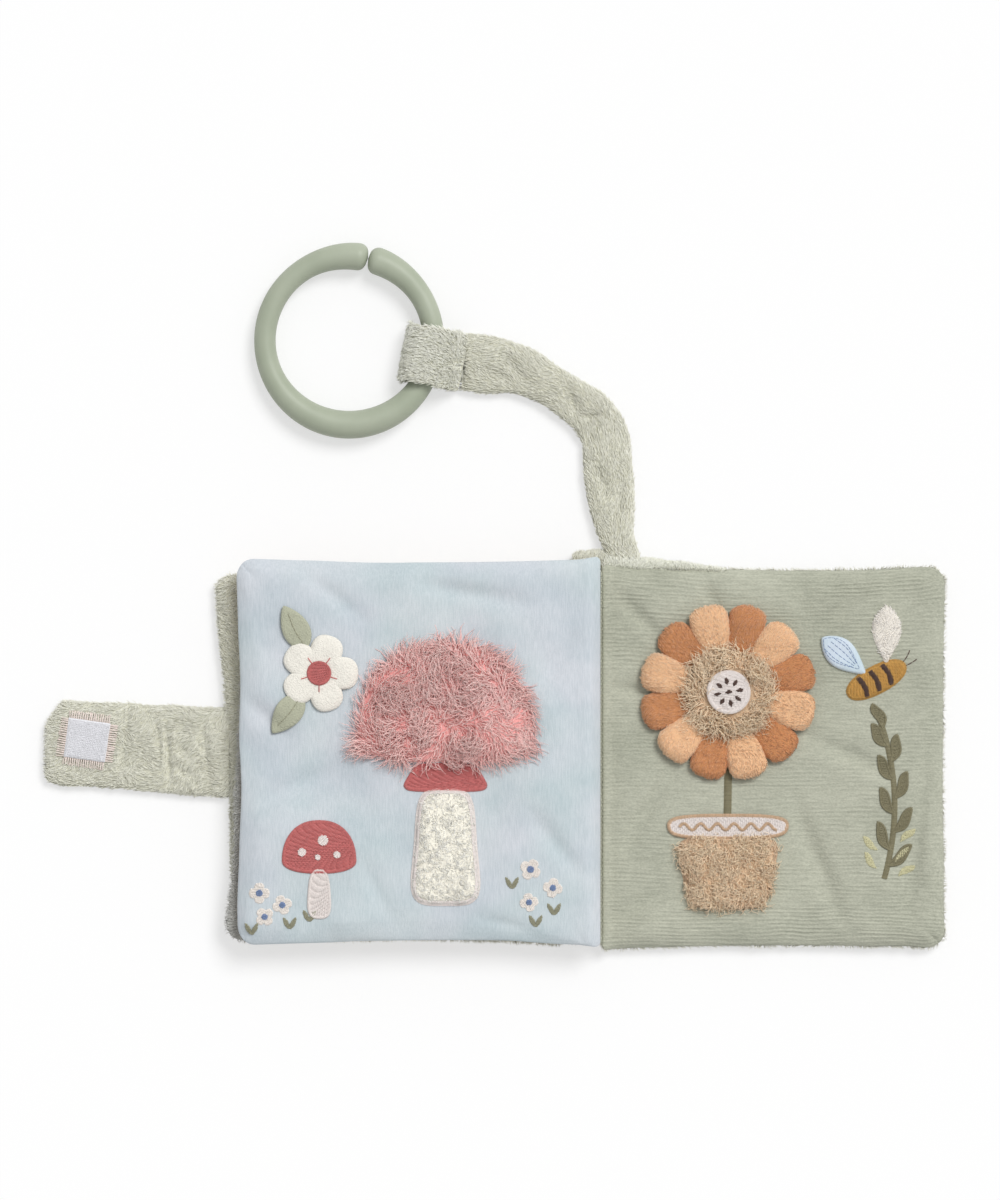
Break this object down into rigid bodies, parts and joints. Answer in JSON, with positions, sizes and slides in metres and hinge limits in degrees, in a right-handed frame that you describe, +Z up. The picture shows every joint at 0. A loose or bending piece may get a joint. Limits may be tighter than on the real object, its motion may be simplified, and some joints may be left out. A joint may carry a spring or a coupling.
{
  "type": "crinkle cloth book",
  "caption": "Padded cloth book with crinkling leaves, raised page pieces, a closing tab with a hook patch, and a carry strap that holds a split plastic ring.",
  "frame": {"origin": "middle of the spine strip's underside, on the table that the open book lies on", "axes": "+X across the pages to the right-hand page, +Y to the pages' top edge, +Z up out of the pages"},
  "size_m": [0.3448, 0.2704, 0.0246],
  "materials": {
    "sage_plush": "short-pile sage plush",
    "ribbed_sage": "fine ribbed velour",
    "blue_velour": "pale blue velour",
    "peach_cotton": "plain woven cotton",
    "grey_plush": "short-pile grey plush",
    "wadding": "polyester wadding",
    "crinkle_film": "thin crinkling film",
    "hook_tape": "woven hook tape",
    "loop_tape": "brushed loop tape",
    "pink_thread": "zigzag stitching thread",
    "ring_plastic": "satin moulded plastic",
    "pink_fluff": "long-pile fluff",
    "cream_fleece": "curly fleece",
    "coral_thread": "satin-stitch embroidery",
    "white_felt": "wool felt",
    "sage_felt": "wool felt",
    "rust_velour": "velour",
    "peach_velour": "velour",
    "tan_fluff": "curly fluff",
    "pale_thread": "satin-stitch embroidery",
    "olive_thread": "satin-stitch embroidery",
    "ochre_velour": "velour",
    "pale_blue_cloth": "smooth woven cloth"
  },
  "bodies": {
    "front_cover": {"front_cover_inner": "sage_plush", "front_cover_outer": "sage_plush", "front_cover_crinkle_film": "crinkle_film", "front_cover_wadding": "wadding", "spine_inner": "sage_plush", "spine_outer": "sage_plush", "seam_binding": "sage_plush", "tab_root": "sage_plush", "strap_anchor": "sage_plush"},
    "grey_leaf": {"grey_leaf_front": "grey_plush", "grey_leaf_back": "grey_plush", "grey_leaf_crinkle_film": "crinkle_film", "grey_leaf_wadding": "wadding"},
    "blue_leaf": {"blue_leaf_front": "blue_velour", "blue_leaf_back": "peach_cotton", "blue_leaf_crinkle_film": "crinkle_film", "blue_leaf_wadding": "wadding", "toadstool_cap": "pink_fluff", "toadstool_skirt": "coral_thread", "toadstool_stem": "cream_fleece", "small_toadstool_cap": "coral_thread", "small_toadstool_stem": "cream_fleece", "felt_flower": "white_felt", "felt_flower_centre": "coral_thread", "felt_leaf_1": "sage_felt", "felt_leaf_2": "sage_felt"},
    "back_cover": {"back_cover_inner": "ribbed_sage", "back_cover_outer": "sage_plush", "back_cover_crinkle_film": "crinkle_film", "back_cover_wadding": "wadding", "loop_patch": "loop_tape", "sunflower_centre": "tan_fluff", "petal_1": "rust_velour", "petal_2": "peach_velour", "petal_3": "rust_velour", "petal_4": "peach_velour", "petal_5": "rust_velour", "petal_6": "peach_velour", "petal_7": "rust_velour", "petal_8": "peach_velour", "petal_9": "rust_velour", "petal_10": "peach_velour", "petal_11": "rust_velour", "petal_12": "peach_velour", "sunflower_stalk": "olive_thread", "pot_rim": "pale_thread", "pot": "tan_fluff", "bee_body": "ochre_velour", "sprig": "olive_thread"},
    "wing_rear": {"bee_wing_rear": "pale_blue_cloth"},
    "wing_front": {"bee_wing_front": "white_felt"},
    "tab_base": {"tab_base_front": "sage_plush", "tab_base_back": "sage_plush"},
    "tab_end": {"tab_end_front": "sage_plush", "tab_end_back": "sage_plush", "hook_patch": "hook_tape", "hook_patch_stitching": "pink_thread"},
    "strap": {"strap": "sage_plush", "strap_loop": "sage_plush"},
    "ring": {"ring": "ring_plastic"}
  },
  "joints": [
    {"name": "back_cover_close", "type": "hinge", "parent": "front_cover", "child": "back_cover", "pos_m": [0.0064, -0.0008, 0.0126], "axis": [0, 1, 0], "range_deg": [-150, 0]},
    {"name": "grey_leaf_turn", "type": "hinge", "parent": "front_cover", "child": "grey_leaf", "pos_m": [0.0064, -0.0008, 0.0126], "axis": [0, 1, 0], "range_deg": [0, 50]},
    {"name": "blue_leaf_turn", "type": "hinge", "parent": "grey_leaf", "child": "blue_leaf", "pos_m": [0.0064, -0.0008, 0.0126], "axis": [0, 1, 0], "range_deg": [0, 100]},
    {"name": "tab_fold", "type": "hinge", "parent": "front_cover", "child": "tab_base", "pos_m": [-0.14247, 0, 0.006], "axis": [0, 1, 0], "range_deg": [0, 90]},
    {"name": "tab_wrap", "type": "hinge", "parent": "tab_base", "child": "tab_end", "pos_m": [-0.16787, 0.003, 0.006], "axis": [0, 1, 0], "range_deg": [0, 90]},
    {"name": "strap_lift", "type": "hinge", "parent": "front_cover", "child": "strap", "pos_m": [0.0149, 0.0772, 0.0056], "axis": [1, 0, 0], "range_deg": [0, 80]},
    {"name": "ring_swing", "type": "hinge", "parent": "strap", "child": "ring", "pos_m": [-0.05809, 0.15243, 0.0062], "axis": [-0.1908, -0.9816, 0], "range_deg": [-150, 0]},
    {"name": "wing_rear_flap", "type": "hinge", "parent": "back_cover", "child": "wing_rear", "pos_m": [0.10603, 0.03227, 0.0097], "axis": [0.6428, 0.766, 0], "range_deg": [0, 90]},
    {"name": "wing_front_flap", "type": "hinge", "parent": "back_cover", "child": "wing_front", "pos_m": [0.11535, 0.03723, 0.0097], "axis": [1, 0, 0], "range_deg": [0, 90]}
  ]
}
